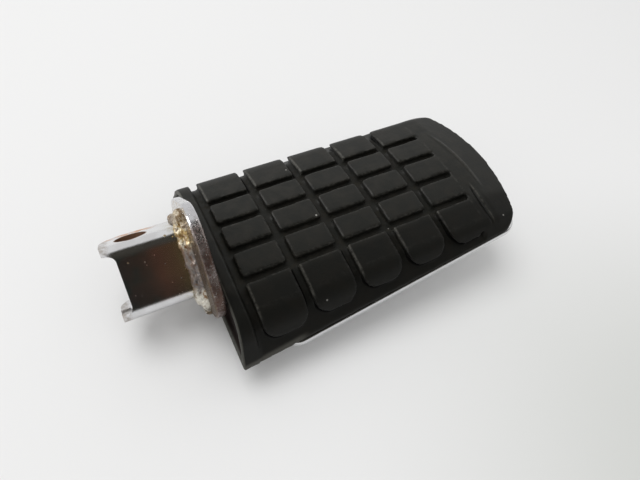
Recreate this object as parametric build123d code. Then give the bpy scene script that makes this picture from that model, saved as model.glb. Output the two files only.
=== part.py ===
from build123d import *
import math
import os

# A motorcycle passenger footpeg: a folded tongue on a rounded end plate carries a pressed
# tray, a flat bar and a ribbed rubber tread held from below by two studs.
# Millimetres. X runs from the pin toward the tip, Y away from the photographed side, Z up
# out of the tread. The origin is the middle of the pin's axis, halfway between the ears.

# Tongue: a channel folded from flat steel, turned about X so that its pin is inclined
pin_lean = 48.5
steel_sheet = 3.0
tongue_width = 21.8
bend_outer_radius = 3.8
web_height = 7.5
flange_depth = 8.0
ear_reach = 8.6
ear_top_round = 3.0
ear_low_round = 7.6
web_cut_reach = 5.3
web_cut_side = 0.6
web_cut_round = 2.0
pin_bore_radius = 4.3

# End plate: a rounded rectangle in the tongue's turned frame
plate_near_x = 14.0
plate_thickness = 3.0
plate_half_width = 16.6
plate_shift = 0.9
plate_top = 22.7
plate_bottom = 13.8
plate_corner_round = 10.6
plate_edge_chamfer = 0.5

# Weld run round the outside of the tongue, with a heavier gob at each corner
bead_radius = 2.1
bead_ripple = 0.25
bead_pitch = 3.9
bead_sink = 0.7
corner_gob_radius = 2.8

# Tread frame: the start of the first block, on the crest line
tread_start_x = 24.1
tread_start_y = -2.0
tread_start_z = 6.7
tread_rise = 2.1

# Rubber, measured in the tread frame
crown_drop = 3.8
lip_end = -6.1
end_face_draft = 7.3
end_wall = 1.8
end_recess = 2.4
crease_x = 83.0
tip_x = 95.0
tip_drop = 1.6
tip_margin = 0.5
base_depth = 15.7
tip_depth = 6.5
base_half_width = 33.1
base_taper = 0.0464
flank_spread = 5.1
flank_spread_taper = 0.0184
foot_height = 1.5
foot_taper = 0.0085
shoulder_round_inner = 11.0
shoulder_round_outer = 5.0
shoulder_round_tip = 3.0
tip_round_radius = 72.0
tip_corner_round = 9.0
section_margin = 4.0
plan_margin = 0.3

# Tread pattern
column_count = 5
column_pitch = 16.0
block_length = 13.4
row_pitch = 10.0
inner_row_count = 3
row_gap = 2.2
groove_depth = 2.2
flank_groove = 2.0
block_corner_round = 0.8
lip_width = 3.5
rim_overlap = 1.0
side_block_depth = 10.4
side_block_climb = 0.062
side_block_round = 4.2

# Support bar inside the rubber, tray under it
bar_width = 24.0
bar_thickness = 4.0
bar_end = 62.0
bar_end_round = 6.0
bar_clearance = 0.3
pocket_clearance = 0.2
tray_thickness = 2.3
tray_overhang = 0.5
tray_shoulder = 5.0
tray_neck_half_width = 9.0
tray_neck_round = 5.0
tray_shoulder_round = 5.5
tray_tip_round = 7.0
tray_weld_leg = 2.6
tray_weld_length = 16.0
tray_weld_end_chamfer = 1.6

# Bonded insert and its two studs with their fasteners
insert_start = 6.0
insert_end = 53.0
insert_width = 20.0
insert_thickness = 1.5
insert_corner_round = 3.0
first_stud = 15.0
stud_spacing = 28.0
stud_radius = 3.0
stud_clearance = 0.3
stud_tail = 1.6
stud_tip_chamfer = 0.6
thread_clearance = 0.05
washer_radius = 6.25
washer_thickness = 1.2
spring_washer_radius = 5.5
spring_washer_thickness = 1.6
spring_washer_split = 0.8
spring_washer_slant = 25.0
washer_clearance = 0.2
nut_across_flats = 10.0
nut_height = 5.0
nut_corner_chamfer = 0.5

# Sizes that follow from the ones above
plate_far_x = plate_near_x + plate_thickness
base_slope = (base_depth - tip_depth) / tip_x
base_climb = math.degrees(math.atan(base_slope))
rim_start = (column_count - 1) * column_pitch + block_length
inner_edge = inner_row_count * row_pitch / 2
flank_reach = 2 * base_half_width
crown_radius = (base_half_width - flank_spread) ** 2 / (2 * crown_drop)
tool_reach = 2 * tip_x
tongue_frame = Location((0, 0, 0), (pin_lean, 0, 0))
tread_frame = Location((tread_start_x, tread_start_y, tread_start_z), (0, -tread_rise, 0))
base_frame = tread_frame * Location((0, 0, -base_depth), (0, -base_climb, 0))
stack_bottom = tray_thickness + washer_thickness + spring_washer_thickness + nut_height


def profile_on_yz(sketch, start, length):
    """Extrudes a sketch drawn with x as Y and y as Z, from X = start over a length."""
    plane = Plane(origin=(start, 0, 0), x_dir=(0, 1, 0), z_dir=(1, 0, 0))
    return extrude(plane * sketch, length)


def tongue_channel():
    """The folded channel: a web, two flanges with ears and the cross bore."""
    height = web_height + flange_depth
    middle = (web_height - flange_depth) / 2
    length = plate_near_x + ear_reach
    outside = Pos(0, middle) * Rectangle(tongue_width, height)
    outside = fillet(outside.vertices().group_by(Axis.Y)[-1], bend_outer_radius)
    hollow_width = tongue_width - 2 * steel_sheet
    inside = Pos(0, middle - steel_sheet) * Rectangle(hollow_width, height)
    inside = fillet(inside.vertices().group_by(Axis.Y)[-1], bend_outer_radius - steel_sheet)
    solid = profile_on_yz(outside - inside, -ear_reach, length)

    side = Pos((plate_near_x - ear_reach) / 2, middle) * Rectangle(length, height)
    ear_corners = side.vertices().group_by(Axis.X)[0].sort_by(Axis.Y)
    side = fillet(ear_corners[-1], ear_top_round)
    low_corner = side.vertices().sort_by(Axis.Y).group_by(Axis.Y)[0].sort_by(Axis.X)[0]
    side = fillet(low_corner, ear_low_round)
    solid = solid & extrude(Plane.XZ * side, tongue_width, both=True)

    notch_width = hollow_width + 2 * web_cut_side
    notch_length = ear_reach - web_cut_reach + web_cut_round
    notch = Rectangle(notch_length, notch_width)
    notch = fillet(notch.vertices().group_by(Axis.X)[-1], web_cut_round)
    notch_middle = -web_cut_reach - notch_length / 2
    notch_tool = extrude(Pos(notch_middle, 0, 0) * notch, web_height + steel_sheet)
    solid = solid - Pos(0, 0, web_height - steel_sheet - web_cut_round) * notch_tool

    bore = Cylinder(pin_bore_radius, 2 * tongue_width, rotation=(90, 0, 0))
    return tongue_frame * (solid - bore)


def plate_outline(growth=0.0):
    """The end plate's rounded outline, with an even growth for its pocket."""
    width = 2 * (plate_half_width + growth)
    height = plate_top + plate_bottom + 2 * growth
    outline = RectangleRounded(width, height, plate_corner_round + growth)
    return Pos(plate_shift, (plate_top - plate_bottom) / 2) * outline


def end_plate():
    """The rounded plate that joins the tongue to the tread."""
    solid = profile_on_yz(plate_outline(), plate_near_x, plate_thickness)
    rims = solid.faces().group_by(Axis.X)
    edges = rims[0].edges() + rims[-1].edges()
    return tongue_frame * chamfer(edges, plate_edge_chamfer)


def beyond_plate():
    """Everything past the plate's near face, in the tongue's frame."""
    return Pos(plate_near_x + tool_reach / 2, 0, 0) * Box(tool_reach, tool_reach, tool_reach)


def rippled_run(length):
    """A round run along Z whose outline rises to a low crest at every bead."""
    count = round(length / bead_pitch)
    step = length / count
    valley = bead_radius - bead_ripple
    outline = [(0, 0)]
    for index in range(count):
        outline.append((valley, step * index))
        outline.append((bead_radius, step * (index + 0.5)))
    outline = outline + [(valley, length), (0, length)]
    return revolve(Plane.XZ * make_face(Polyline(outline, close=True)), Axis.Z)


def tongue_weld():
    """The rippled weld run along the web and both flanges, against the plate."""
    half = tongue_width / 2 + bead_sink
    top = web_height + bead_sink
    side = top + flange_depth
    seam = plate_near_x - bead_sink
    run = Pos(seam, -half, top) * Rot(-90, 0, 0) * rippled_run(2 * half)
    for across in (-half, half):
        run = run + Pos(seam, across, -flange_depth) * rippled_run(side)
        run = run + Pos(seam, across, top) * Sphere(corner_gob_radius)
    height = web_height + flange_depth + 2 * corner_gob_radius
    tongue_block = Rectangle(tongue_width, height)
    tongue_block = fillet(tongue_block.vertices().group_by(Axis.Y)[-1], bend_outer_radius)
    inside = profile_on_yz(Pos(0, web_height - height / 2) * tongue_block, -ear_reach, flank_reach)
    return tongue_frame * (run - inside - beyond_plate())


def rubber_section(x, crest, shoulder_round, inset=0.0, sink=0.0):
    """The tread's cross section at x: domed top, sloping flanks, flat base."""
    half_base = base_half_width - base_taper * x
    half_crown = half_base - flank_spread + flank_spread_taper * x - inset
    base = -base_depth + base_slope * x
    foot = base + foot_height - foot_taper * x
    rim = -half_crown ** 2 / (2 * crown_radius) + crest - sink
    dome = ThreePointArc((-half_crown, rim), (0, crest - sink), (half_crown, rim))
    right = Polyline((half_crown, rim), (half_base, foot), (half_base, base))
    floor = Line((half_base, base), (-half_base, base))
    left = Polyline((-half_base, base), (-half_base, foot), (-half_crown, rim))
    face = make_face([dome, right, floor, left])
    shoulders = face.vertices().group_by(Axis.Y)[-1]
    face = fillet(shoulders, shoulder_round)
    return Plane(origin=(x, 0, 0), x_dir=(0, 1, 0), z_dir=(1, 0, 0)) * face


def rubber_full():
    """The tread's outer form from the inner end over the crease to the rounded tip."""
    start = lip_end - section_margin
    finish = tip_x + tip_margin
    fall = tip_drop * (finish - crease_x) / (tip_x - crease_x)
    inner = rubber_section(start, 0, shoulder_round_inner)
    crease = rubber_section(crease_x, 0, shoulder_round_outer)
    outer = rubber_section(finish, -fall, shoulder_round_tip)
    form = loft([inner, crease], ruled=True) + loft([crease, outer], ruled=True)
    return (form & plan_tool()) - end_face_tool()


def rubber_core():
    """The form at the bottom of the grooves, from the inner end to inside the rim."""
    start = lip_end - section_margin
    inner = rubber_section(start, 0, shoulder_round_inner, flank_groove, groove_depth)
    rim = rubber_section(rim_start + rim_overlap, 0, shoulder_round_outer, flank_groove, groove_depth)
    return loft([inner, rim], ruled=True) - end_face_tool()


def plan_tool():
    """An upright block whose far end has the tip's rounded outline."""
    start = lip_end - 2 * section_margin
    half_start = base_half_width - base_taper * start + plan_margin
    half_tip = base_half_width - base_taper * tip_x + plan_margin
    corner_x = tip_x - tip_round_radius + math.sqrt(tip_round_radius ** 2 - half_tip ** 2)
    front = Line((start, -half_start), (corner_x, -half_tip))
    arc = ThreePointArc((corner_x, -half_tip), (tip_x, 0), (corner_x, half_tip))
    back = Line((corner_x, half_tip), (start, half_start))
    inner = Line((start, half_start), (start, -half_start))
    outline = make_face([front, arc, back, inner])
    outline = fillet(outline.vertices().group_by(Axis.X)[-1], tip_corner_round)
    return extrude(outline, flank_reach, both=True)


def end_face_tool():
    """What is cut away beyond the drafted inner end face."""
    block = Pos(-flank_reach / 2, 0, 0) * Box(flank_reach, tool_reach, tool_reach)
    return Pos(lip_end, 0, 0) * Rot(0, end_face_draft, 0) * block


def end_hollow():
    """The shallow hollow in the inner end face, inside a thin wall."""
    section = offset(rubber_section(lip_end, 0, shoulder_round_inner), -end_wall)
    return extrude(section, flank_reach, both=True) & (Pos(end_recess, 0, 0) * end_face_tool())


def lip_and_rim():
    """The stretches of full height at the two ends, the rows' grooves ending round in the rim."""
    groove_round = row_gap / 2
    lip = Pos(lip_end + lip_width - flank_reach / 2, 0, 0) * Box(flank_reach, tool_reach, tool_reach)
    rim_edge = rim_start - groove_round
    rim = Pos(rim_edge + flank_reach / 2, 0, 0) * Box(flank_reach, tool_reach, tool_reach)
    for row in range(inner_row_count + 1):
        rim = rim - Pos(rim_edge, inner_edge - row * row_pitch, 0) * Cylinder(groove_round, tool_reach)
    return lip + rim


def top_blocks():
    """Upright prisms for the inner rows of blocks on top of the tread."""
    prisms = Part()
    block_width = row_pitch - row_gap
    outline = RectangleRounded(block_length, block_width, block_corner_round)
    for column in range(column_count):
        for row in range(inner_row_count):
            across = (row + 0.5) * row_pitch - inner_edge
            spot = Pos(column * column_pitch + block_length / 2, across, -base_depth / 2)
            prisms = prisms + spot * extrude(outline, base_depth)
    return prisms


def side_blocks():
    """Prisms for the two outer rows, which bend down over the flanks."""
    prisms = Part()
    block_edge = inner_edge + row_gap / 2
    for column in range(column_count):
        start = column * column_pitch
        middle = start + block_length / 2
        bottom = -side_block_depth + side_block_climb * middle
        outline = Pos(middle, bottom + base_depth / 2) * Rectangle(block_length, base_depth)
        outline = fillet(outline.vertices().group_by(Axis.Y)[0], side_block_round)
        upright = Plane.XZ * outline
        for side in (-1, 1):
            block = extrude(upright, flank_reach / 2, both=True)
            prisms = prisms + Pos(0, side * (block_edge + flank_reach / 2), 0) * block
    return prisms


def bar_room():
    """The space that the bar and the bonded insert take in the rubber's underside."""
    length = bar_end + bar_clearance + flank_reach
    width = bar_width + 2 * bar_clearance
    floor = Rectangle(length, width)
    floor = fillet(floor.vertices().group_by(Axis.X)[-1], bar_end_round)
    slot = Pos(bar_end + bar_clearance - length / 2, 0, 0) * floor
    return extrude(slot, bar_thickness)


def insert_blank():
    """The bonded insert without its stud holes, in the base frame."""
    length = insert_end - insert_start
    outline = RectangleRounded(length, insert_width, insert_corner_round)
    middle = (insert_start + insert_end) / 2
    return Pos(middle, 0, bar_thickness) * extrude(outline, insert_thickness)


def tread_rubber():
    """The moulded rubber tread with its raised blocks."""
    full = rubber_full()
    core = rubber_core()
    raised = full & (lip_and_rim() + top_blocks() + side_blocks())
    solid = tread_frame * (core + raised - end_hollow())
    solid = solid - base_frame * bar_room()
    solid = solid - base_frame * insert_blank()
    pocket = profile_on_yz(plate_outline(pocket_clearance), plate_far_x - flank_reach, flank_reach)
    return solid - tongue_frame * pocket


def behind_plate():
    """Everything on the tongue's side of the plate's far face."""
    return Pos(plate_far_x - tool_reach / 2, 0, 0) * Box(tool_reach, tool_reach, tool_reach)


def stud_spots():
    """Distances of the stud axes along the base."""
    return [first_stud, first_stud + stud_spacing]


def stud_drills(radius):
    """Upright drills on the stud axes, in the base frame."""
    drills = Part()
    for spot in stud_spots():
        drills = drills + Pos(spot, 0, 0) * Cylinder(radius, flank_reach)
    return drills


def support_bar():
    """The flat bar that carries the tread from the plate outward."""
    length = bar_end + flank_reach / 2
    outline = Rectangle(length, bar_width)
    outline = fillet(outline.vertices().group_by(Axis.X)[-1], bar_end_round - bar_clearance)
    bar = extrude(Pos(bar_end - length / 2, 0, 0) * outline, bar_thickness)
    bar = bar - stud_drills(stud_radius + stud_clearance)
    return base_frame * bar - behind_plate()


def tray_outline():
    """The tray's outline on the base plane: neck, shoulders, tapered sides, rounded tip."""
    cosine = math.cos(math.radians(base_climb))
    tip = tip_x / cosine + tray_overhang
    start = -flank_reach / 2
    half_shoulder = base_half_width - base_taper * tray_shoulder + tray_overhang
    half_tip = base_half_width - base_taper * tip_x + tray_overhang
    corner_x = tip - tip_round_radius + math.sqrt(tip_round_radius ** 2 - half_tip ** 2)
    neck = tray_neck_half_width
    front = Line((tray_shoulder, -half_shoulder), (corner_x, -half_tip))
    arc = ThreePointArc((corner_x, -half_tip), (tip, 0), (corner_x, half_tip))
    back = Line((corner_x, half_tip), (tray_shoulder, half_shoulder))
    inner = Line((tray_shoulder, half_shoulder), (tray_shoulder, -half_shoulder))
    body = make_face([front, arc, back, inner])
    body = fillet(body.vertices().group_by(Axis.X)[-1], tray_tip_round)
    body = fillet(body.vertices().group_by(Axis.X)[0], tray_shoulder_round)
    stem = Pos((start + tray_shoulder) / 2, 0) * Rectangle(tray_shoulder - start, 2 * neck)
    outline = body + stem
    roots = outline.vertices().filter_by(lambda v: abs(abs(v.Y) - neck) < tray_overhang)
    return fillet(roots.group_by(Axis.X)[-1], tray_neck_round)


def base_tray():
    """The pressed tray under the rubber, seen as a thin bright edge."""
    tray = extrude(tray_outline(), -tray_thickness)
    tray = tray - stud_drills(stud_radius + stud_clearance)
    return base_frame * tray - behind_plate()


def tray_weld():
    """A fillet run between the tray's underside and the plate."""
    neck_z = (base_frame * Pos(lip_end, 0, -tray_thickness)).position.Z
    run = Cylinder(tray_weld_leg, tray_weld_length)
    run = chamfer(run.edges().filter_by(GeomType.CIRCLE), tray_weld_end_chamfer)
    run = Pos(plate_far_x, tread_start_y, neck_z) * Rot(90, 0, 0) * run
    above = Pos(0, 0, flank_reach / 2 - tray_thickness) * Box(tool_reach, tool_reach, flank_reach)
    return run - behind_plate() - base_frame * above


def insert_plate():
    """The steel insert bonded into the rubber's underside."""
    return base_frame * (insert_blank() - stud_drills(stud_radius))


def stud(spot):
    """A stud from the insert's top down past its nut."""
    top = bar_thickness + insert_thickness
    bottom = -stack_bottom - stud_tail
    length = top - bottom
    shank = Cylinder(stud_radius, length)
    tip = shank.faces().sort_by(Axis.Z)[0].edges()
    shank = chamfer(tip, stud_tip_chamfer)
    return base_frame * Pos(spot, 0, (top + bottom) / 2) * shank


def ring(radius, hole, thickness, top):
    """A plain ring round the stud axis, hanging down from a height."""
    body = Cylinder(radius, thickness) - Cylinder(hole, 2 * thickness)
    return Pos(0, 0, top - thickness / 2) * body


def flat_washer(spot):
    """The flat washer against the tray."""
    hole = stud_radius + washer_clearance
    return base_frame * Pos(spot, 0, 0) * ring(washer_radius, hole, washer_thickness, -tray_thickness)


def spring_washer(spot):
    """The split washer under the flat one."""
    hole = stud_radius + washer_clearance
    top = -tray_thickness - washer_thickness
    body = ring(spring_washer_radius, hole, spring_washer_thickness, top)
    slit = Box(2 * spring_washer_radius, spring_washer_split, 4 * spring_washer_thickness)
    slit = Pos(spring_washer_radius, 0, 0) * Rot(spring_washer_slant, 0, 0) * slit
    body = body - Pos(0, 0, top - spring_washer_thickness / 2) * slit
    return base_frame * Pos(spot, 0, 0) * body


def nut(spot):
    """The hexagon nut, its corners taken off by a cone."""
    corner_radius = nut_across_flats / math.sqrt(3)
    body = extrude(RegularPolygon(corner_radius, 6), nut_height)
    turned = Cylinder(corner_radius, nut_height, align=(Align.CENTER, Align.CENTER, Align.MIN))
    rims = turned.faces().sort_by(Axis.Z)
    turned = chamfer(rims[0].edges() + rims[-1].edges(), nut_corner_chamfer)
    body = body & turned
    body = body - Cylinder(stud_radius + thread_clearance, 3 * nut_height)
    return base_frame * Pos(spot, 0, -stack_bottom) * body


pieces = {
    "tongue_channel": tongue_channel(),
    "end_plate": end_plate(),
    "tongue_weld": tongue_weld(),
    "support_bar": support_bar(),
    "base_tray": base_tray(),
    "tray_weld": tray_weld(),
    "tread_rubber": tread_rubber(),
    "insert_plate": insert_plate(),
}
for name, spot in zip(("inner", "outer"), stud_spots()):
    pieces["stud_" + name] = stud(spot)
    pieces["flat_washer_" + name] = flat_washer(spot)
    pieces["spring_washer_" + name] = spring_washer(spot)
    pieces["nut_" + name] = nut(spot)

os.makedirs("parts", exist_ok=True)
for name, solid in pieces.items():
    export_step(solid, "parts/" + name + ".step")
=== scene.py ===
import math
import random

import bmesh
import bpy
from bpy.props import FloatProperty, FloatVectorProperty, IntProperty, PointerProperty
from mathutils import Matrix, Vector, noise


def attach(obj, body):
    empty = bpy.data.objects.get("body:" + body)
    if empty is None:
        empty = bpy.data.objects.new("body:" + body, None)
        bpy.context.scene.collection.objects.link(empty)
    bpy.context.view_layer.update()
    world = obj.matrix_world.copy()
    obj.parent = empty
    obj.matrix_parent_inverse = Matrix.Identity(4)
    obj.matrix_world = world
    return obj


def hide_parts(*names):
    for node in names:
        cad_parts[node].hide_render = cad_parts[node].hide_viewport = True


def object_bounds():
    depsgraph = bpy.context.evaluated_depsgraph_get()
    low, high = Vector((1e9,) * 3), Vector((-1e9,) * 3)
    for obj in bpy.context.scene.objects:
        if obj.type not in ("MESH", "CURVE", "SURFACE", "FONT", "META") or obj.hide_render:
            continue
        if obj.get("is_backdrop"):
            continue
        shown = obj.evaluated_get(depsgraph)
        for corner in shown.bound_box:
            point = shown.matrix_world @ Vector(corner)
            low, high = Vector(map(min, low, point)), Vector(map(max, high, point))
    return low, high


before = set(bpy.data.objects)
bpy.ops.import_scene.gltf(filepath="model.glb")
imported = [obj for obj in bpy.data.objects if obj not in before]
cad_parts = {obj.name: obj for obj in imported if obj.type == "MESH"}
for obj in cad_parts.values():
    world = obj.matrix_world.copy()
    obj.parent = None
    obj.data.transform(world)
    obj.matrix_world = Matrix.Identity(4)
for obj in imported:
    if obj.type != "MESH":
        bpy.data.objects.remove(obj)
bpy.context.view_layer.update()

bl_info = {
    "name": "Passenger footpeg",
    "version": (1, 0, 0),
    "blender": (4, 5, 0),
    "location": "View3D > Sidebar > Footpeg",
    "description": "Dresses a folding passenger footpeg in worn rubber and heat-tinted chrome",
    "category": "Object",
}

MM = 0.001
BODY = "root"

# The part's two frames, as its source gives them: the tongue is turned about X, and the tread
# starts at a point on its crest and rises toward the tip
PIN_LEAN = math.radians(48.5)
TREAD_START = (24.1, -2.0, 6.7)
TREAD_RISE = math.radians(2.1)

# Lengths of the tongue, the plate and the tread in millimetres, each in its own frame
PIN_BORE_RADIUS = 4.3
PLATE_NEAR_X = 14.0
TONGUE_HALF_WIDTH = 10.9
WEB_HEIGHT = 7.5
FLANGE_DEPTH = 8.0
COLUMN_PITCH = 16.0
BLOCK_LENGTH = 13.4
ROW_PITCH = 10.0
ROW_GAP = 2.2
ROW_COUNT = 5
CROWN_RADIUS = 103.2
FLANK_START = 16.0
SIDE_DEPTH = 10.4
SIDE_ROUND = 4.2
SIDE_CLIMB = 0.062
RIM_START = 77.4
END_X = -6.1
END_SLOPE = 0.128
BASE_DEPTH = 15.7
TIP_DEPTH = 6.5
TIP_X = 95.0

# What only the looks have, in millimetres: the tip is drawn in along the tray's plane
TIP_START = 74.0
TIP_REACH = 21.5
TIP_MIDDLE_Y = -6.0
TIP_HALF_WIDTH = 45.0
TIP_DRAW = 1.2

# The raised arc of the crease, in the tread's frame
CREASE_TOP = (84.2, -8.0)
CREASE_CURVE = 0.005
CREASE_RISE = 0.28
CREASE_REACH = 1.1
CREASE_MIDDLE_Y = 1.0
CREASE_HALF_WIDTH = 17.0

# The fold by the tip's near corner: a raised line beside a sunk one
RAISED_FOLD_X = 80.9
SUNK_FOLD_X = 79.8
# Where the painted highlight line of the fold lies
FOLD_HIGHLIGHT_X = 80.7
FOLD_RISE = 0.25
FOLD_SINK = 0.45
FOLD_REACH = 0.9
FOLD_MIDDLE_Y = -19.5
FOLD_HALF_WIDTH = 9.0
LOWEST_FOLD = -6.0

# Edge rounds, the tray's in metres and the plate's as a share of the sheet's, and the angles
# between two faces that still count as flat and that already count as sharp
TRAY_EDGE = 0.0006
PLATE_EDGE_SHARE = 0.6
FLAT_ANGLE = math.radians(1.2)
SHARP_ANGLE = math.radians(28)

# The weld run round the tongue: lengths in millimetres in the tongue's turned frame, and the
# radii of its beads as shares of the radius in the settings
WELD_SEED = 7
RUN_STEPS = 12
RUN_BESIDE = 0.3
RUN_ABOVE = 0.4
RUN_NEARER = 0.6
RUN_UNEVEN = (0.0, 0.3)
BEAD_SHARES = (0.92, 1.14)
FAR_SIDE_SHARE = 0.75
SECOND_ROW_BACK = 0.5
SECOND_ROW_UP = 2.1
SECOND_ROW_UNEVEN = (-0.4, 0.5)
SECOND_ROW_SHARES = (0.72, 0.92)

# Gobs on the run at the tongue's bends: the share of the half width and the radius. They sit a
# little inside the run
BEND_GOBS = ((1.0, 2.4), (-1.0, 2.6), (0.55, 2.4))
BEND_GOB_INSIDE = 0.95

# The noise on the weld: how fast its layers weaken and shrink, and how many there are
NOISE_FALL = 0.9
NOISE_STEP = 2.1
NOISE_LAYERS = 4

# Gobs of weld on the plate beyond the tongue's two bends: place across and up, and radius
GOBS = (
    (-12.2, 9.4, 2.1), (-13.2, 6.4, 1.9), (-12.6, 3.6, 1.7), (-14.6, 7.6, 1.8), (-15.0, 4.8, 1.4),
    (12.6, 8.6, 2.2), (13.8, 10.4, 1.8), (13.6, 6.0, 2.0),
)

# Balls of weld spatter in the same frame: place and radius
SPATTER = (
    (-2.6, 5.5, 7.5, 0.30), (1.5, 4.3, 7.5, 0.22), (8.5, 9.4, 6.6, 0.40), (12.0, 6.7, 7.6, 0.35),
    (10.4, 8.6, 7.1, 0.25), (9.2, -3.1, 7.5, 0.18), (11.6, -6.4, 7.5, 0.25), (6.3, 2.2, 7.5, 0.14),
    (13.9, 13.6, 14.0, 0.35), (13.9, 12.0, 18.0, 0.28), (13.9, 4.0, 17.0, 0.30),
)

# Colours that wear leaves on the rubber, and the colours of its painted highlights and painted
# shade
BROWN_RUBBER = (0.0100, 0.0082, 0.0050)
RUBBED_EDGE = (0.07, 0.066, 0.058)
BLACK_GRAIN = (0.006, 0.006, 0.0055)
# Pale of rubbed folds and of painted highlights
RUBBED_AND_HIGHLIGHT_PALE = (0.085, 0.082, 0.070)
PALE_FOOT = (0.075, 0.073, 0.062)
HOLLOW_GRIME = (0.016, 0.0055, 0.0045)
PALE_SPECK = (0.42, 0.41, 0.38)
# Black for painted shade
PAINTED_SHADE_BLACK = (0.001, 0.001, 0.001)

# Colours that heat and rust leave on the tongue, and a darker tone toward its near side
NEAR_SIDE_DARK = (0.20, 0.20, 0.21)
TEAL_TINT = (0.13, 0.27, 0.28)
HAZED_BEND = (0.52, 0.50, 0.50)
STRAW_TINT = (0.50, 0.46, 0.36)
EAR_RUST = (0.50, 0.24, 0.10)
BORE_RUST = (0.085, 0.036, 0.016)
CUT_STEEL = (0.33, 0.29, 0.25)

# Colours on the plate and the tray
PLATE_CHROME = (0.60, 0.60, 0.62)
PLATE_HAZE = (0.44, 0.42, 0.42)
PLATE_BROWN = (0.27, 0.205, 0.175)
PLATE_BURNT = (0.13, 0.088, 0.072)
RUST_DOT = (0.10, 0.028, 0.016)
PALE_BEAD = (0.80, 0.79, 0.78)
GOLD_FACE = (0.36, 0.25, 0.11)
DARK_NEAR_FACE = (0.085, 0.062, 0.045)
TRAY_HAZE = (0.52, 0.50, 0.46)

# Colours on the weld's far and lower ends
FAR_END_PALE = (0.46, 0.40, 0.31)
FAR_END_BROWN = (0.15, 0.085, 0.030)
LOW_OLIVE = (0.065, 0.046, 0.022)
WELD_SOOT = (0.035, 0.022, 0.014)

# Clean and dull plain steels
ZINC = ((0.50, 0.49, 0.44), (0.30, 0.29, 0.26))
BAR_STEEL = ((0.30, 0.29, 0.28), (0.18, 0.165, 0.15))

# The stage: places and widths in metres, the floor's dim corner and the lens in millimetres,
# the camera's angles in degrees
FLOOR_REACH = 3.0
FLOOR_BELOW = 0.0002
# Middle of the floor's painted dim corner
PAINTED_DIM_CORNER = (140.0, -140.0, 0.0)
LAMP_AIM = (0.05, 0.0, 0.0)
KEY_PLACE = (-0.14, 0.26, 0.96)
KEY_WIDTH = 0.8
WINDOW_PLACE = (-0.75, 0.50, 0.32)
WINDOW_WIDTH = 0.25
CARD_MIDDLE = (0.02, -0.34, 0.49)
CARD_REACH = 1.0
# Faint glow of the card, a painted reflection of the dim room
CARD_PAINTED_GLOW = (0.053, 0.049, 0.041)
ROOM_COLOUR = (0.945, 0.945, 0.94)
ROOM_SEEN_STRENGTH = 0.9
CAMERA_PLACE = (0.000797, -0.085523, 0.119982)
CAMERA_ANGLES = (37.1308, -5.4342, -26.8628)
CAMERA_LENS = 27.266
SENSOR_WIDTH = 36.0

# The plane that the tray lies on starts under the tread's start and climbs toward the tip
base_climb = math.atan((BASE_DEPTH - TIP_DEPTH) / TIP_X)
tongue_turn = Matrix.Rotation(PIN_LEAN, 4, "X")
tread_turn = Matrix.Translation(TREAD_START) @ Matrix.Rotation(-TREAD_RISE, 4, "Y")
base_turn = tread_turn @ Matrix.Translation((0, 0, -BASE_DEPTH))
base_turn = base_turn @ Matrix.Rotation(-base_climb, 4, "Y")


# Sizes and colours that can be changed


class RubberSettings(bpy.types.PropertyGroup):
    cell: FloatProperty(
        name="Mould cell", description="Size of the cells that the rubber is rebuilt from",
        default=0.00047, min=0.0002, unit="LENGTH")
    easing: IntProperty(
        name="Edge easing", description="How often the moulded edges are eased", default=4, min=0)
    colour: FloatVectorProperty(
        name="Rubber", description="Colour of the aged black rubber",
        default=(0.0070, 0.0072, 0.0050), subtype="COLOR", size=3)
    # Colour of the scuffs, and of the painted sheen on the far rows
    worn_and_sheen_colour: FloatVectorProperty(
        name="Worn rubber", description="Colour of scuffed rubber on the block tops",
        default=(0.0205, 0.0195, 0.0150), subtype="COLOR", size=3)
    dust_colour: FloatVectorProperty(
        name="Dust", description="Colour of the dirt in the grooves",
        default=(0.026, 0.023, 0.017), subtype="COLOR", size=3)
    roughness: FloatProperty(
        name="Roughness", description="Roughness of the rubber", default=0.5, min=0, max=1)


class SteelSettings(bpy.types.PropertyGroup):
    edge: FloatProperty(
        name="Edge round", description="Round on the edges of the folded sheet",
        default=0.00035, min=0.00005, unit="LENGTH")
    chrome: FloatVectorProperty(
        name="Chrome", description="Colour of the clean plating",
        default=(0.74, 0.745, 0.76), subtype="COLOR", size=3)
    rust: FloatVectorProperty(
        name="Rust", description="Colour of the rust in the pits",
        default=(0.115, 0.045, 0.022), subtype="COLOR", size=3)


class WeldSettings(bpy.types.PropertyGroup):
    cell: FloatProperty(
        name="Weld cell", description="Size of the cells that the weld is rebuilt from",
        default=0.00022, min=0.0001, unit="LENGTH")
    easing: IntProperty(
        name="Weld easing", description="How often the lumps are eased", default=9, min=0)
    radius: FloatProperty(
        name="Bead radius", description="Radius of one bead of the weld run",
        default=0.0021, min=0.0005, unit="LENGTH")
    roughening: FloatProperty(
        name="Roughening", description="Height of the unevenness on the beads",
        default=0.00022, min=0, unit="LENGTH")


class StageSettings(bpy.types.PropertyGroup):
    floor_colour: FloatVectorProperty(
        name="Floor", description="Colour of the pale floor",
        default=(0.80, 0.80, 0.80), subtype="COLOR", size=3)
    # Colour of the painted shade in the floor's dim corner
    floor_painted_shade_colour: FloatVectorProperty(
        name="Floor away from the lamp", description="Colour of the floor's darker corner",
        default=(0.62, 0.63, 0.61), subtype="COLOR", size=3)
    key_power: FloatProperty(
        name="Key lamp", description="Power of the large lamp above the object in watts",
        default=4.9, min=0)
    window_power: FloatProperty(
        name="Window", description="Power of the bright pane that the plating mirrors in watts",
        default=4.0, min=0)
    fill_strength: FloatProperty(
        name="Fill", description="Strength of the light from all round", default=0.74, min=0)


# Node trees written as arithmetic


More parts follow.
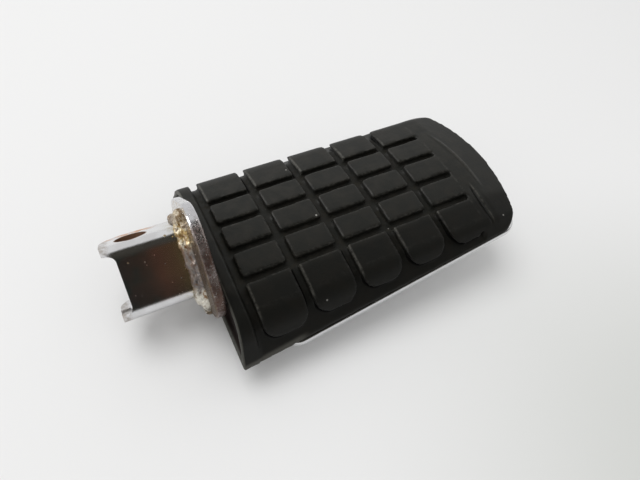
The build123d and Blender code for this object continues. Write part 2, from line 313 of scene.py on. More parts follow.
class Value:
    """A node's output that ordinary arithmetic adds Math nodes to."""

    def __init__(self, nodes, socket):
        self.nodes = nodes
        self.socket = socket

    def math(self, operation, *operands):
        inputs = dict(enumerate(operands))
        return self.nodes.node("ShaderNodeMath", {"operation": operation}, inputs)

    def __add__(self, other):
        return self.math("ADD", self, other)

    def __sub__(self, other):
        return self.math("SUBTRACT", self, other)

    def __mul__(self, other):
        return self.math("MULTIPLY", self, other)

    def __truediv__(self, other):
        return self.math("DIVIDE", self, other)

    def __rsub__(self, other):
        return self.math("SUBTRACT", other, self)

    __radd__ = __add__
    __rmul__ = __mul__

    def least(self, other):
        return self.math("MINIMUM", self, other)

    def most(self, other):
        return self.math("MAXIMUM", self, other)

    def size(self):
        return self.math("ABSOLUTE", self)

    def length(self, other):
        """The hypotenuse over this value and another."""
        squares = self * self + other * other
        return squares.math("SQRT", squares)

    def fraction(self):
        return self.math("FRACT", self)

    def ease(self, low, high):
        """0 at low, 1 at high and smooth between them, in either order."""
        if low > high:
            return 1 - self.ease(high, low)
        settings = {"interpolation_type": "SMOOTHSTEP"}
        inputs = {"Value": self, "From Min": low, "From Max": high}
        return self.nodes.node("ShaderNodeMapRange", settings, inputs)


class Nodes:
    """An emptied node tree that new nodes are added to."""

    def __init__(self, tree):
        self.tree = tree
        tree.nodes.clear()

    def node(self, kind, settings=None, inputs=None, output=0):
        """Adds a node, with its settings first and then the values or links of its sockets."""
        made = self.tree.nodes.new(kind)
        for key, value in (settings or {}).items():
            if key == "stops":
                self.set_stops(made.color_ramp, value)
            else:
                setattr(made, key, value)
        for key, value in (inputs or {}).items():
            self.plug(made.inputs[key], value)
        return Value(self, made.outputs[output])

    def plug(self, socket, value):
        """Links a value to a socket, or sets the socket to a number or a colour."""
        if isinstance(value, Value):
            self.tree.links.new(value.socket, socket)
        elif hasattr(value, "__len__") and len(value) == 3 and len(socket.default_value) == 4:
            socket.default_value = (*value, 1.0)
        else:
            socket.default_value = value

    def set_stops(self, ramp, stops):
        while len(ramp.elements) < len(stops):
            ramp.elements.new(1.0)
        for element, (place, colour) in zip(ramp.elements, stops):
            element.position = place
            element.color = (*colour, 1.0)

    def end(self, kind, shader):
        """Ends the tree in an output node."""
        self.tree.links.new(shader.socket, self.tree.nodes.new(kind).inputs["Surface"])


class Finish(Nodes):
    """One material and the nodes that its look is made from."""

    def __init__(self, name):
        self.material = bpy.data.materials.new(name)
        self.material.use_nodes = True
        super().__init__(self.material.node_tree)

    def place(self, origin=(0, 0, 0), axis="X", angle=0.0):
        """Object coordinates in millimetres, from an origin and turned back by an angle."""
        spot = self.node("ShaderNodeTexCoord", output="Object")
        spot = self.node("ShaderNodeVectorMath", {"operation": "SCALE"}, {0: spot, "Scale": 1000.0})
        spot = self.node("ShaderNodeVectorMath", {"operation": "SUBTRACT"}, {0: spot, 1: origin})
        turn = {"rotation_type": axis + "_AXIS"}
        return self.node("ShaderNodeVectorRotate", turn, {"Vector": spot, "Angle": angle})

    def split(self, vector):
        return [self.node("ShaderNodeSeparateXYZ", None, {0: vector}, k) for k in range(3)]

    def distance(self, vector):
        """How far a place is from its origin."""
        return self.node("ShaderNodeVectorMath", {"operation": "LENGTH"}, {0: vector}, 1)

    def noise(self, vector, scale, detail=2.0, roughness=0.5, distortion=0.0):
        inputs = {"Vector": vector, "Scale": scale, "Detail": detail,
                  "Roughness": roughness, "Distortion": distortion}
        return self.node("ShaderNodeTexNoise", None, inputs)

    def cells(self, vector, scale):
        """Distance from the middle of the nearest of many scattered cells."""
        return self.node("ShaderNodeTexVoronoi", None, {"Vector": vector, "Scale": scale})

    def mix(self, factor, first, second):
        inputs = {0: factor, 6: first, 7: second}
        return self.node("ShaderNodeMix", {"data_type": "RGBA"}, inputs, 2)

    def ramp(self, value, stops):
        return self.node("ShaderNodeValToRGB", {"stops": stops}, {0: value})

    def bump(self, height, depth, under=None):
        """A relief of a depth in metres, over another one if that is given."""
        inputs = {"Height": height, "Distance": depth, "Strength": 1.0}
        if under is not None:
            inputs["Normal"] = under
        return self.node("ShaderNodeBump", None, inputs)

    def shader(self, **inputs):
        named = {key.replace("_", " ").title().replace("Ior", "IOR"): value
                 for key, value in inputs.items()}
        return self.node("ShaderNodeBsdfPrincipled", None, named)

    def surface(self, painted_shade=None, **inputs):
        """Ends the material in a Principled shader with these inputs, blended to black where
        painted shade is given.
        """
        shader = self.shader(**inputs)
        if painted_shade is not None:
            dark = self.shader(base_color=PAINTED_SHADE_BLACK, roughness=0.9, specular_ior_level=0.04)
            shader = self.node("ShaderNodeMixShader", None, {0: painted_shade, 1: shader, 2: dark})
        self.end("ShaderNodeOutputMaterial", shader)
        return self.material


def rubber_finish(look):
    """Aged black rubber: scuffed block tops, lighter rubbed edges, dirt in the grooves, and painted
    sheen, highlights and shade.
    """
    finish = Finish("aged_rubber")
    spot = finish.place(TREAD_START, "Y", TREAD_RISE)
    x, y, z = finish.split(spot)
    grain = finish.noise(spot, 7.0, 3.0, 0.6)
    cloud = finish.noise(spot, 0.22, 4.0, 0.6)
    streak = finish.noise(spot, 0.9, 5.0, 0.7)

    # Depth below the domed top, and the places in a column and in a row of blocks
    below = 0 - z - y * y * (0.5 / CROWN_RADIUS)
    on_top = below.ease(1.3, 0.35)
    low = below.ease(1.2, 2.1)
    across = y.size().ease(26.0, 20.0)
    along = (x / COLUMN_PITCH + 4).fraction() * COLUMN_PITCH
    to_end = along.least(BLOCK_LENGTH - along).size()
    rows = ((y + ROW_COUNT / 2 * ROW_PITCH) / ROW_PITCH + 4).fraction() * ROW_PITCH
    to_side = rows.least(ROW_PITCH - rows) - ROW_GAP / 2
    in_blocks = x.ease(RIM_START + 0.6, RIM_START - 0.6) * x.ease(-0.6, 0.2)
    edge = to_end.ease(0.9, 0.25).most(to_side.ease(0.9, 0.25)) * on_top * in_blocks
    # Scuffs on the block tops, with a painted sheen that lightens them toward the far rows
    scuffs_and_sheen = on_top * across * cloud.ease(0.35, 0.7) * (0.12 + y.ease(-18.0, 12.0) * 0.45)
    rubbed = edge * across * streak.ease(0.42, 0.66)
    dirt = low * across * finish.noise(spot, 0.55, 4.0, 0.65).ease(0.45, 0.7)

    # The arc of the crease and the two lines of the fold beside it
    aside = y - CREASE_TOP[1]
    arc = x - CREASE_TOP[0] + aside * aside * CREASE_CURVE
    crease = arc.size().ease(0.9, 0.0) * y.ease(-15.0, -9.0) * y.ease(16.0, 6.0)
    # The outer fold's pale line is a painted highlight
    outer_fold = (x - FOLD_HIGHLIGHT_X).size().ease(0.5, 0.0) * y.ease(-10.0, -14.0)
    outer_fold = outer_fold * y.ease(-27.0, -24.0)
    inner_fold = (x - SUNK_FOLD_X).size().ease(0.6, 0.0) * y.ease(-12.0, -14.5)
    inner_fold = inner_fold * y.ease(-27.0, -24.5)

    # The inner end face: its pale rim and foot round the grimy hollow
    inward = x - END_X - z * END_SLOPE
    end_rim = inward.ease(0.55, 0.25)
    inside = (26.1 - z * 0.49 - y.size()).ease(0.9, 1.5) * below.ease(1.0, 1.5)
    hollow = inside * inward.ease(2.9, 2.5) * inward.ease(0.4, 0.9)
    foot = (z - x * 0.09).ease(-13.0, -13.9) * x.ease(13.0, 9.0)

    # The flank round the side blocks, whose lower corners are round
    beside = (along - BLOCK_LENGTH / 2).size() - (BLOCK_LENGTH / 2 - SIDE_ROUND)
    under = SIDE_ROUND - SIDE_DEPTH + x * SIDE_CLIMB - z
    round_off = beside.most(0.0).length(under.most(0.0)) - SIDE_ROUND
    outside = round_off + beside.most(under).least(0.0)
    flank = y.size().ease(FLANK_START - 0.4, FLANK_START + 0.4) * in_blocks
    # Painted shadow under the lower edges of the side blocks
    ledge_shadow = flank * outside.ease(-0.1, 0.2) * outside.ease(1.4, 0.4) * low
    # Painted highlight down the left edges of the side blocks
    painted_edge_highlight = along.ease(0.9, 0.3) * flank * under.ease(1.0, -1.5) * y.size().ease(27.5, 25.0)
    patches = finish.noise(spot, 0.31, 1.0).ease(0.6, 0.66)
    specks = finish.cells(spot, 0.23).ease(0.085, 0.05) * patches

    colour = finish.mix(cloud.ease(0.4, 0.65) * 0.6, look.colour, BROWN_RUBBER)
    colour = finish.mix(scuffs_and_sheen, colour, look.worn_and_sheen_colour)
    colour = finish.mix(rubbed * 0.4, colour, RUBBED_EDGE)
    colour = finish.mix(dirt * 0.55, colour, look.dust_colour)
    colour = finish.mix(grain.ease(0.3, 0.75) * 0.25, colour, BLACK_GRAIN)
    # Pale lines: rubbed rubber along the crease's arc with a painted highlight on it, and painted
    # highlights along the outer fold and the left edges of the side blocks
    rubbed_folds_and_painted_highlights = crease * 0.35 + outer_fold * 0.6 + painted_edge_highlight * 0.8
    colour = finish.mix(rubbed_folds_and_painted_highlights * streak.ease(0.3, 0.6), colour, RUBBED_AND_HIGHLIGHT_PALE)
    colour = finish.mix(foot.most(end_rim) * streak.ease(0.2, 0.45), colour, PALE_FOOT)
    colour = finish.mix(hollow * 0.85, colour, HOLLOW_GRIME)
    colour = finish.mix(specks * 0.7, colour, PALE_SPECK)

    roughness = look.roughness + grain * 0.12 + dirt * 0.25 - rubbed * 0.06
    relief = finish.bump(cloud, 0.00012)
    relief = finish.bump(streak, 0.00004, relief)
    relief = finish.bump(grain, 0.000012, relief)
    relief = finish.bump(crease - inner_fold, 0.00025, relief)
    # Painted shade: black in the shadow under the side blocks, in the sunk fold and over the near
    # flank
    painted_shade = (ledge_shadow * 0.95).most(inner_fold * 0.6).most(y.ease(-15.0, -19.0) * 0.36)
    return finish.surface(painted_shade, base_color=colour, roughness=roughness, normal=relief,
                          specular_ior_level=0.34)


def tongue_finish(look):
    """Chrome on the folded sheet: a brown web, pale bends and rust along the cut edges."""
    finish = Finish("tinted_chrome")
    spot = finish.place((0, 0, 0), "X", -PIN_LEAN)
    x, y, z = finish.split(spot)
    cloud = finish.noise(spot, 0.16, 3.0, 0.6)
    fine = finish.noise(spot, 1.6, 4.0, 0.65)
    blotch = finish.noise(spot, 0.5, 4.0, 0.65)
    web = z.ease(WEB_HEIGHT - 1.0, WEB_HEIGHT - 0.2) * y.size().ease(8.4, 6.6)

    # Bands of temper colour along the web, from its free end to the weld
    heat = finish.ramp((x + (cloud - 0.5) * 5.0 + 6.0) / 20.0, [
        (0.00, (0.30, 0.27, 0.27)),
        (0.30, (0.40, 0.30, 0.27)),
        (0.55, (0.76, 0.42, 0.33)),
        (0.78, (0.82, 0.56, 0.36)),
        (0.92, (0.92, 0.74, 0.40)),
        (1.00, (0.55, 0.36, 0.18)),
    ])
    # The web darker toward its near side
    heat = finish.mix(y.ease(0.0, -9.0) * 0.55, heat, NEAR_SIDE_DARK)
    teal = finish.noise(spot, 0.15, 2.0).ease(0.42, 0.56) * x.ease(5.0, -1.0)
    heat = finish.mix(teal * 0.5, heat, TEAL_TINT)

    near_weld = (x + (cloud - 0.5) * 6.0).ease(7.0, 12.5)
    bends = finish.mix(cloud.ease(0.3, 0.7) * 0.4, look.chrome, HAZED_BEND)
    bends = finish.mix(near_weld * blotch.ease(0.35, 0.6), bends, STRAW_TINT)
    colour = finish.mix(web, bends, heat)

    far_ear = z.ease(-3.0, -5.5) * y.ease(9.6, 10.4) * x.ease(9.0, 4.0)
    bore = x.length(z).ease(PIN_BORE_RADIUS + 0.4, PIN_BORE_RADIUS + 0.05)
    rust = (far_ear * blotch.ease(0.38, 0.56)).most(bore * 0.9)
    cut_end = x.ease(-5.6, -7.4) * (1 - web)
    pits = finish.cells(spot, 0.9).ease(0.16, 0.08) * finish.noise(spot, 0.5, 2.0).ease(0.58, 0.68)
    colour = finish.mix(rust * 0.9, colour, EAR_RUST)
    colour = finish.mix(bore * 0.85, colour, BORE_RUST)
    colour = finish.mix(cut_end * blotch.ease(0.30, 0.6) * 0.8, colour, CUT_STEEL)
    colour = finish.mix(pits * 0.6, colour, look.rust)

    metal = 1 - rust * 0.75 - pits * 0.5 - cut_end * 0.3
    roughness = 0.12 + fine * 0.08 + web * 0.05 + cut_end * 0.25 + rust * 0.3 + pits * 0.3
    relief = finish.bump(cloud, 0.00010)
    relief = finish.bump(fine, 0.000014, relief)
    return finish.surface(base_color=colour, metallic=metal, roughness=roughness, normal=relief)


def plate_finish():
    """Chrome on the end plate, bright at the far corner, burnt and speckled with rust below."""
    finish = Finish("pitted_chrome")
    spot = finish.place((0, 0, 0), "X", -PIN_LEAN)
    x, y, _ = finish.split(spot)
    cloud = finish.noise(spot, 0.2, 4.0, 0.65)
    fine = finish.noise(spot, 1.3, 4.0, 0.7)
    grit = finish.noise(spot, 2.6, 3.0, 0.7, 0.6)
    lower = (y - (cloud - 0.5) * 6.0).ease(14.0, 10.5)
    burnt = (y - (cloud - 0.5) * 8.0).ease(9.0, 3.0)
    dots = grit.ease(0.53, 0.62) * fine.ease(0.36, 0.54) * lower
    beads = grit.ease(0.41, 0.35) * finish.noise(spot, 0.7, 2.0).ease(0.45, 0.56)
    near_face = x.ease(PLATE_NEAR_X + 0.5, PLATE_NEAR_X + 0.1)
    gold = near_face * finish.noise(spot, 0.35, 3.0, 0.6).ease(0.42, 0.58)

    colour = finish.mix(cloud.ease(0.35, 0.65) * 0.4, PLATE_CHROME, PLATE_HAZE)
    colour = finish.mix(lower * 0.7, colour, PLATE_BROWN)
    colour = finish.mix(burnt * cloud.ease(0.25, 0.5) * 0.95, colour, PLATE_BURNT)
    colour = finish.mix(dots * 0.85, colour, RUST_DOT)
    colour = finish.mix(beads * lower * 0.8, colour, PALE_BEAD)
    colour = finish.mix(gold * 0.75, colour, GOLD_FACE)
    # The plate's near face darker except toward the far corner
    colour = finish.mix(near_face * y.ease(11.0, 7.5) * 0.85, colour, DARK_NEAR_FACE)

    metal = 1 - dots * 0.5 - burnt * 0.08
    roughness = 0.13 + lower * 0.13 + dots * 0.35 + burnt * 0.12
    relief = finish.bump(dots, -0.00012)
    relief = finish.bump(beads, 0.00015, relief)
    relief = finish.bump(fine, 0.00002, relief)
    return finish.surface(base_color=colour, metallic=metal, roughness=roughness, normal=relief)


def weld_finish():
    """Weld metal under thin plating: gold and brown above, grey in the middle, pale below."""
    finish = Finish("weld_metal")
    spot = finish.place((0, 0, 0), "X", -PIN_LEAN)
    _, y, z = finish.split(spot)
    cloud = finish.noise(spot, 0.42, 3.0, 0.6, 0.4)
    fine = finish.noise(spot, 2.2, 4.0, 0.7)
    streak = finish.noise(spot, 0.55, 4.0, 0.65, 1.5)
    drift = y + (cloud - 0.5) * 8.0
    gold = finish.ramp(cloud, [
        (0.30, (0.13, 0.065, 0.022)),
        (0.44, (0.50, 0.36, 0.16)),
        (0.54, (0.82, 0.76, 0.60)),
        (0.66, (0.17, 0.090, 0.035)),
    ])
    grey = finish.ramp(cloud, [
        (0.32, (0.13, 0.085, 0.055)),
        (0.46, (0.25, 0.215, 0.19)),
        (0.56, (0.19, 0.175, 0.17)),
        (0.68, (0.13, 0.080, 0.050)),
    ])
    pale = finish.ramp(cloud, [
        (0.34, (0.22, 0.13, 0.06)),
        (0.46, (0.66, 0.64, 0.57)),
        (0.60, (0.54, 0.50, 0.42)),
        (0.70, (0.08, 0.050, 0.030)),
    ])
    far_end = drift.ease(10.0, 13.0)
    lowest = drift.ease(-6.5, -9.5)
    foot = y.ease(-11.8, -14.0) * streak.ease(0.62, 0.46)
    soot = fine.ease(0.58, 0.70)

    colour = finish.mix(drift.ease(3.0, 8.0) * z.ease(1.0, 5.0), grey, gold)
    far_colour = finish.mix(streak.ease(0.44, 0.56), FAR_END_PALE, FAR_END_BROWN)
    colour = finish.mix(far_end * 0.85, colour, far_colour)
    colour = finish.mix(lowest, colour, pale)
    colour = finish.mix(foot, colour, LOW_OLIVE)
    colour = finish.mix(soot * 0.7, colour, WELD_SOOT)
    roughness = 0.24 + fine * 0.3 + far_end * 0.15
    metal = 0.9 - lowest * 0.6 - soot * 0.4 - far_end * 0.5
    relief = finish.bump(fine, 0.00006)
    return finish.surface(base_color=colour, metallic=metal, roughness=roughness, normal=relief)


def tray_finish(look):
    """Chrome on the pressed tray, with a fine haze and a few pits."""
    finish = Finish("tray_chrome")
    spot = finish.place()
    cloud = finish.noise(spot, 0.12, 4.0, 0.6)
    fine = finish.noise(spot, 2.5, 3.0, 0.6)
    pits = finish.cells(spot, 0.5).ease(0.16, 0.07) * cloud.ease(0.5, 0.62)
    colour = finish.mix(cloud.ease(0.35, 0.75) * 0.35, look.chrome, TRAY_HAZE)
    colour = finish.mix(pits * 0.85, colour, look.rust)
    roughness = 0.12 + cloud * 0.14 + pits * 0.4
    relief = finish.bump(cloud, 0.0002)
    relief = finish.bump(fine, 0.00001, relief)
    return finish.surface(base_color=colour, metallic=1 - pits * 0.7, roughness=roughness,
                          normal=relief)


def steel_finish(name, clean, dull, look):
    """Plain steel with a dull bloom and spots of rust."""
    finish = Finish(name)
    spot = finish.place()
    cloud = finish.noise(spot, 0.35, 4.0, 0.65)
    fine = finish.noise(spot, 3.0, 3.0, 0.6)
    rust = finish.noise(spot, 0.8, 5.0, 0.7).ease(0.56, 0.68)
    colour = finish.mix(cloud.ease(0.35, 0.7), clean, dull)
    colour = finish.mix(rust * 0.7, colour, look.rust)
    roughness = 0.30 + cloud * 0.2 + rust * 0.3
    relief = finish.bump(fine, 0.00002)
    return finish.surface(base_color=colour, metallic=1 - rust * 0.7, roughness=roughness,
                          normal=relief)


# Shapes


def merged_copy(node):
    """A copy of a solid's mesh with its loose triangles joined."""
    shell = bmesh.new()
    shell.from_mesh(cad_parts[node].data)
    bmesh.ops.remove_doubles(shell, verts=shell.verts, dist=1e-7)
    return shell


def as_mesh(name, shell):
    """The mesh that a shell ends in."""
    mesh = bpy.data.meshes.new(name)
    shell.to_mesh(mesh)
    shell.free()
    return mesh


def link_piece(name, data):
    piece = bpy.data.objects.new(name, data)
    bpy.context.scene.collection.objects.link(piece)
    return piece


def settle(piece, material, slot, *nodes):
    """Gives a finished piece its material and body, and hides the solids it stands for; the slot is
    not used.
    """
    piece.data.materials.clear()
    piece.data.materials.append(material)
    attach(piece, BODY)
    if nodes:
        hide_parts(*nodes)


def rebuilt(name, shell, cell, easing):
    """A piece rebuilt from small cells, so that every edge of its form is eased."""
    piece = link_piece(name, as_mesh(name + "_rough", shell))
    cells = piece.modifiers.new("cells", "REMESH")
    cells.mode = "VOXEL"
    cells.voxel_size = cell
    ease = piece.modifiers.new("ease", "SMOOTH")
    ease.factor = 0.5
    ease.iterations = easing
    graph = bpy.context.evaluated_depsgraph_get()
    solid = bpy.data.meshes.new_from_object(piece.evaluated_get(graph))
    piece.modifiers.clear()
    piece.data = solid
    solid.name = name
    solid.shade_smooth()
    return piece


def edged(name, shell, width):
    """A piece whose flat sides are whole faces and whose sharp edges have a small round."""
    bmesh.ops.dissolve_limit(shell, angle_limit=FLAT_ANGLE, use_dissolve_boundaries=False,
                             verts=shell.verts, edges=shell.edges, delimit=set())
    sharp = [edge for edge in shell.edges
             if len(edge.link_faces) == 2 and edge.calc_face_angle() > SHARP_ANGLE]
    bmesh.ops.bevel(shell, geom=sharp, offset=width, offset_type="OFFSET", segments=3,
                    profile=0.5, affect="EDGES", clamp_overlap=True, material=-1)
    mesh = as_mesh(name, shell)
    mesh.shade_smooth()
    piece = link_piece(name, mesh)
    even = piece.modifiers.new("even", "WEIGHTED_NORMAL")
    even.keep_sharp = True
    return piece


def ball(shell, place, radius):
    """Adds a ball of a radius in metres, at millimetres in the tongue's turned frame."""
    matrix = Matrix.Translation(tongue_turn @ (Vector(place) * MM))
    bmesh.ops.create_icosphere(shell, subdivisions=2, radius=radius, matrix=matrix)


def push_out(mesh, height):
    """Moves each point along its normal by what height gives, in metres, for its place."""
    moved = [point.co + point.normal * height(point.co / MM) for point in mesh.vertices]
    for point, place in zip(mesh.vertices, moved):
        point.co = place


def roughen(mesh, depth, scale, seed):
    """Makes a surface uneven by a noise of a depth in metres."""
    shift = Vector((seed, 2 * seed, 3 * seed))

    def height(spot):
        spot = spot * scale + shift
        return noise.fractal(spot, NOISE_FALL, NOISE_STEP, NOISE_LAYERS) * depth

    push_out(mesh, height)


def draw_in_tip(mesh):
    """Flattens the curve of the tip by up to a millimetre, along the tray's plane."""
    back = base_turn.inverted()
    for point in mesh.vertices:
        spot = back @ (point.co / MM)
        reach = max(spot.x - TIP_START, 0.0) / TIP_REACH
        share = 1 - ((spot.y - TIP_MIDDLE_Y) / TIP_HALF_WIDTH) ** 2
        spot.x -= TIP_DRAW * share * reach ** 2
        point.co = (base_turn @ spot) * MM


def swell(distance, reach):
    """1 on a line, 0 beyond its reach and smooth between them."""
    share = max(1 - abs(distance) / reach, 0.0)
    return share * share * (3 - 2 * share)


def raise_folds(mesh):
    """Raises the arc of the crease on the tread and sinks the fold by the tip's near corner."""
    back = tread_turn.inverted()

    def height(spot):
        x, y, z = back @ spot
        if x <= RIM_START or z + y * y / (2 * CROWN_RADIUS) <= LOWEST_FOLD:
            return 0.0
        arc = x - CREASE_TOP[0] + CREASE_CURVE * (y - CREASE_TOP[1]) ** 2
        crease = CREASE_RISE * swell(arc, CREASE_REACH)
        crease *= swell(y - CREASE_MIDDLE_Y, CREASE_HALF_WIDTH)
        fold = FOLD_RISE * swell(x - RAISED_FOLD_X, FOLD_REACH)
        fold -= FOLD_SINK * swell(x - SUNK_FOLD_X, FOLD_REACH)
        return (crease + swell(y - FOLD_MIDDLE_Y, FOLD_HALF_WIDTH) * fold) * MM

    push_out(mesh, height)


# Operators, one for each piece or group of like pieces


class FOOTPEG_OT_tread(bpy.types.Operator):
    """Make the moulded rubber tread with eased block edges"""
    bl_idname = "footpeg.tread"
    bl_label = "Rubber tread"

    def execute(self, context):
        look = context.scene.footpeg_rubber
        piece = rebuilt("tread_cover", merged_copy("tread_rubber"), look.cell, look.easing)
        draw_in_tip(piece.data)
        raise_folds(piece.data)
        settle(piece, rubber_finish(look), "rubber", "tread_rubber")
        return {"FINISHED"}


class FOOTPEG_OT_tongue(bpy.types.Operator):
    """Make the folded tongue with rounded sheet edges"""
    bl_idname = "footpeg.tongue"
    bl_label = "Folded tongue"

    def execute(self, context):
        look = context.scene.footpeg_steel
        piece = edged("tongue_folded", merged_copy("tongue_channel"), look.edge)
        settle(piece, tongue_finish(look), "tongue_chrome", "tongue_channel")
        return {"FINISHED"}


class FOOTPEG_OT_plate(bpy.types.Operator):
    """Finish the end plate in pitted chrome"""
    bl_idname = "footpeg.plate"
    bl_label = "End plate"

    def execute(self, context):
        edge = context.scene.footpeg_steel.edge * PLATE_EDGE_SHARE
        piece = edged("plate_dressed", merged_copy("end_plate"), edge)
        settle(piece, plate_finish(), "plate_chrome", "end_plate")
        return {"FINISHED"}


class FOOTPEG_OT_weld(bpy.types.Operator):
    """Lay the lumpy weld round the tongue, its second row and the gobs on the plate"""
    bl_idname = "footpeg.weld"
    bl_label = "Tongue weld"

    def execute(self, context):
        shape = context.scene.footpeg_weld
        draw = random.Random(WELD_SEED)
        half = TONGUE_HALF_WIDTH + RUN_BESIDE
        top = WEB_HEIGHT + RUN_ABOVE
        side = top + FLANGE_DEPTH
        run = []
        for index in range(RUN_STEPS):
            run.append((-half, -FLANGE_DEPTH + side * index / RUN_STEPS, 1.0))
        for index in range(RUN_STEPS):
            run.append((-half + 2 * half * index / RUN_STEPS, top, 1.0))
        for index in range(RUN_STEPS + 1):
            run.append((half, top - side * index / RUN_STEPS, FAR_SIDE_SHARE))

        shell = bmesh.new()
        for y, z, share in run:
            radius = shape.radius * share * draw.uniform(*BEAD_SHARES)
            x = PLATE_NEAR_X - RUN_NEARER - draw.uniform(*RUN_UNEVEN)
            ball(shell, (x, y, z), radius)
        for share, radius in BEND_GOBS:
            y = share * half * BEND_GOB_INSIDE
            ball(shell, (PLATE_NEAR_X - RUN_NEARER, y, top * BEND_GOB_INSIDE), radius * MM)
        for index in range(RUN_STEPS + 1):
            y = -half + 2 * half * index / RUN_STEPS
            z = top + SECOND_ROW_UP + draw.uniform(*SECOND_ROW_UNEVEN)
            radius = shape.radius * draw.uniform(*SECOND_ROW_SHARES)
            ball(shell, (PLATE_NEAR_X + SECOND_ROW_BACK, y, z), radius)
        for y, z, radius in GOBS:
            ball(shell, (PLATE_NEAR_X, y, z), radius * MM)
        piece = rebuilt("weld_lumps", shell, shape.cell, shape.easing)
        roughen(piece.data, shape.roughening, scale=0.7, seed=3.0)
        settle(piece, weld_finish(), "weld", "tongue_weld")
        return {"FINISHED"}


class FOOTPEG_OT_spatter(bpy.types.Operator):
    """Scatter the small balls of weld spatter on the web and plate"""
    bl_idname = "footpeg.spatter"
    bl_label = "Weld spatter"

    def execute(self, context):
        shell = bmesh.new()
        for *place, radius in SPATTER:
            ball(shell, place, radius * MM)
        mesh = as_mesh("weld_spatter", shell)
        mesh.shade_smooth()
        settle(link_piece("weld_spatter", mesh), bpy.data.materials["weld_metal"], "weld")
        return {"FINISHED"}


class FOOTPEG_OT_tray(bpy.types.Operator):
    """Finish the pressed tray and the weld under it"""
    bl_idname = "footpeg.tray"
    bl_label = "Pressed tray"

    def execute(self, context):
        look = context.scene.footpeg_steel
        piece = edged("tray_pressed", merged_copy("base_tray"), TRAY_EDGE)
        draw_in_tip(piece.data)
        settle(piece, tray_finish(look), "tray_chrome", "base_tray")
        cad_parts["tray_weld"].data.materials[0] = bpy.data.materials["weld_metal"]
        return {"FINISHED"}


class FOOTPEG_OT_fasteners(bpy.types.Operator):
    """Finish the studs, nuts, washers and the steel inside the tread"""
    bl_idname = "footpeg.fasteners"
    bl_label = "Studs, nuts and inner steel"

    def execute(self, context):
        look = context.scene.footpeg_steel
        zinc = steel_finish("zinc", *ZINC, look)
        bar = steel_finish("bar_steel", *BAR_STEEL, look)
        for name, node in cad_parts.items():
            if name.startswith(("stud", "nut", "flat_washer", "spring_washer")):
                node.data.materials[0] = zinc
            if name in ("support_bar", "insert_plate"):
                node.data.materials[0] = bar
        return {"FINISHED"}


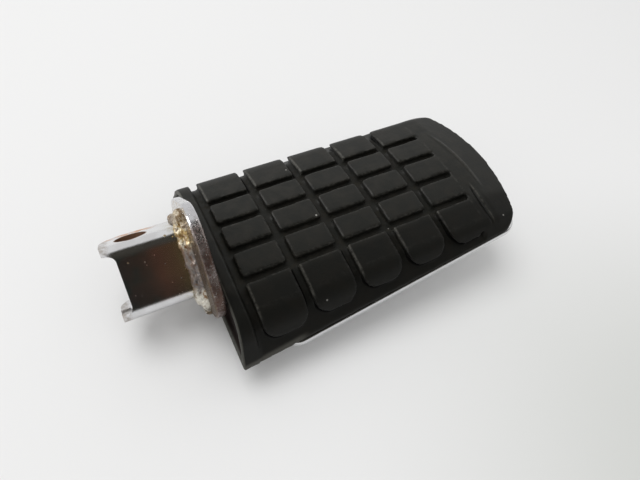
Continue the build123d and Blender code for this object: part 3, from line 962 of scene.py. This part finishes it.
class FOOTPEG_OT_stage(bpy.types.Operator):
    """Set up the pale floor, the lamps and the camera"""
    bl_idname = "footpeg.stage"
    bl_label = "Floor, lamps and camera"

    def execute(self, context):
        scene = context.scene
        look = scene.footpeg_stage
        low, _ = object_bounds()
        under = Matrix.Translation((0, 0, low.z - FLOOR_BELOW))
        floor = self.sheet("floor", FLOOR_REACH, under, self.floor_finish(look))
        floor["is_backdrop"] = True
        card = self.dark_card()
        card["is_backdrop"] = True
        key = self.lamp("key_lamp", KEY_PLACE, KEY_WIDTH, look.key_power)
        key.visible_glossy = False
        window = self.lamp("window", WINDOW_PLACE, WINDOW_WIDTH, look.window_power)
        window.visible_diffuse = False
        self.set_world(scene, look)
        self.set_camera(scene)
        scene.view_settings.view_transform = "Standard"
        return {"FINISHED"}

    def sheet(self, name, reach, place, material):
        """A square with its place in its mesh."""
        shell = bmesh.new()
        bmesh.ops.create_grid(shell, x_segments=1, y_segments=1, size=reach, matrix=place)
        piece = link_piece(name, as_mesh(name, shell))
        piece.data.materials.append(material)
        return piece

    def floor_finish(self, look):
        """Pale paper with a painted fall-off of light, darker toward the corner in front of the
        tip.
        """
        finish = Finish("pale_floor")
        spot = finish.place(PAINTED_DIM_CORNER)
        cloud = finish.noise(spot, 0.012, 2.0)
        # Painted shade: the floor darkens toward its far corner
        dim = (finish.distance(spot) + cloud * 10.0).ease(150.0, 30.0)
        colour = finish.mix(dim, look.floor_colour, look.floor_painted_shade_colour)
        return finish.surface(base_color=colour, roughness=0.6, specular_ior_level=0.2)

    def dark_card(self):
        """A dim card with a soft rim that only mirrors show, above and in front: painted shade in
        the reflections, with a faint glow that stands in for the room's dim light.
        """
        middle = Vector(CARD_MIDDLE)
        facing = (-middle).to_track_quat("Z", "Y").to_matrix().to_4x4()
        finish = Finish("card_dim")
        rim = finish.distance(finish.place(middle / MM)).ease(950.0, 480.0)
        dim = finish.surface(base_color=(0.0, 0.0, 0.0), roughness=1.0, specular_ior_level=0.0,
                             emission_color=CARD_PAINTED_GLOW, emission_strength=1.0, alpha=rim)
        card = self.sheet("dark_card", CARD_REACH, Matrix.Translation(middle) @ facing, dim)
        card.visible_camera = False
        card.visible_diffuse = False
        card.visible_shadow = False
        return card

    def lamp(self, name, place, width, power):
        """A round lamp that faces the tread."""
        data = bpy.data.lights.new(name, "AREA")
        data.shape = "DISK"
        data.size = width
        data.energy = power
        lamp = link_piece(name, data)
        lamp.location = place
        toward = Vector(LAMP_AIM) - Vector(place)
        lamp.rotation_euler = toward.to_track_quat("-Z", "Y").to_euler()
        return lamp

    def set_world(self, scene, look):
        """An even room, a little brighter to the camera and in mirrors than on the floor."""
        world = bpy.data.worlds.new("plain_room")
        scene.world = world
        world.use_nodes = True
        world.cycles.sampling_method = "NONE"
        nodes = Nodes(world.node_tree)
        seen = nodes.node("ShaderNodeLightPath", output="Is Camera Ray")
        seen = seen.most(nodes.node("ShaderNodeLightPath", output="Is Glossy Ray"))
        strength = look.fill_strength + seen * (ROOM_SEEN_STRENGTH - look.fill_strength)
        inputs = {"Color": ROOM_COLOUR, "Strength": strength}
        nodes.end("ShaderNodeOutputWorld", nodes.node("ShaderNodeBackground", None, inputs))

    def set_camera(self, scene):
        data = bpy.data.cameras.new("camera")
        data.sensor_width = SENSOR_WIDTH
        data.lens = CAMERA_LENS
        data.clip_start = 0.005
        data.clip_end = 20.0
        camera = link_piece("camera", data)
        camera.location = CAMERA_PLACE
        camera.rotation_euler = [math.radians(angle) for angle in CAMERA_ANGLES]
        scene.camera = camera


class FOOTPEG_PT_panel(bpy.types.Panel):
    """The pieces of the footpeg, in the order they are made"""
    bl_idname = "FOOTPEG_PT_panel"
    bl_label = "Passenger footpeg"
    bl_space_type = "VIEW_3D"
    bl_region_type = "UI"
    bl_category = "Footpeg"

    def draw(self, context):
        for operator in OPERATORS:
            self.layout.operator(operator.bl_idname)
        for group in SETTINGS:
            settings = getattr(context.scene, group)
            for name in settings.bl_rna.properties.keys():
                if name not in ("rna_type", "name"):
                    self.layout.prop(settings, name)


SETTINGS = {
    "footpeg_rubber": RubberSettings,
    "footpeg_steel": SteelSettings,
    "footpeg_weld": WeldSettings,
    "footpeg_stage": StageSettings,
}
OPERATORS = (
    FOOTPEG_OT_tread,
    FOOTPEG_OT_tongue,
    FOOTPEG_OT_plate,
    FOOTPEG_OT_weld,
    FOOTPEG_OT_spatter,
    FOOTPEG_OT_tray,
    FOOTPEG_OT_fasteners,
    FOOTPEG_OT_stage,
)
CLASSES = (*SETTINGS.values(), *OPERATORS, FOOTPEG_PT_panel)


def register():
    for made in CLASSES:
        bpy.utils.register_class(made)
    for name, group in SETTINGS.items():
        setattr(bpy.types.Scene, name, PointerProperty(type=group))


def unregister():
    for name in SETTINGS:
        delattr(bpy.types.Scene, name)
    for made in reversed(CLASSES):
        bpy.utils.unregister_class(made)


def main():
    """Makes every piece and the stage."""
    register()
    for operator in OPERATORS:
        area, name = operator.bl_idname.split(".")
        getattr(getattr(bpy.ops, area), name)()


if __name__ == "__main__":
    main()
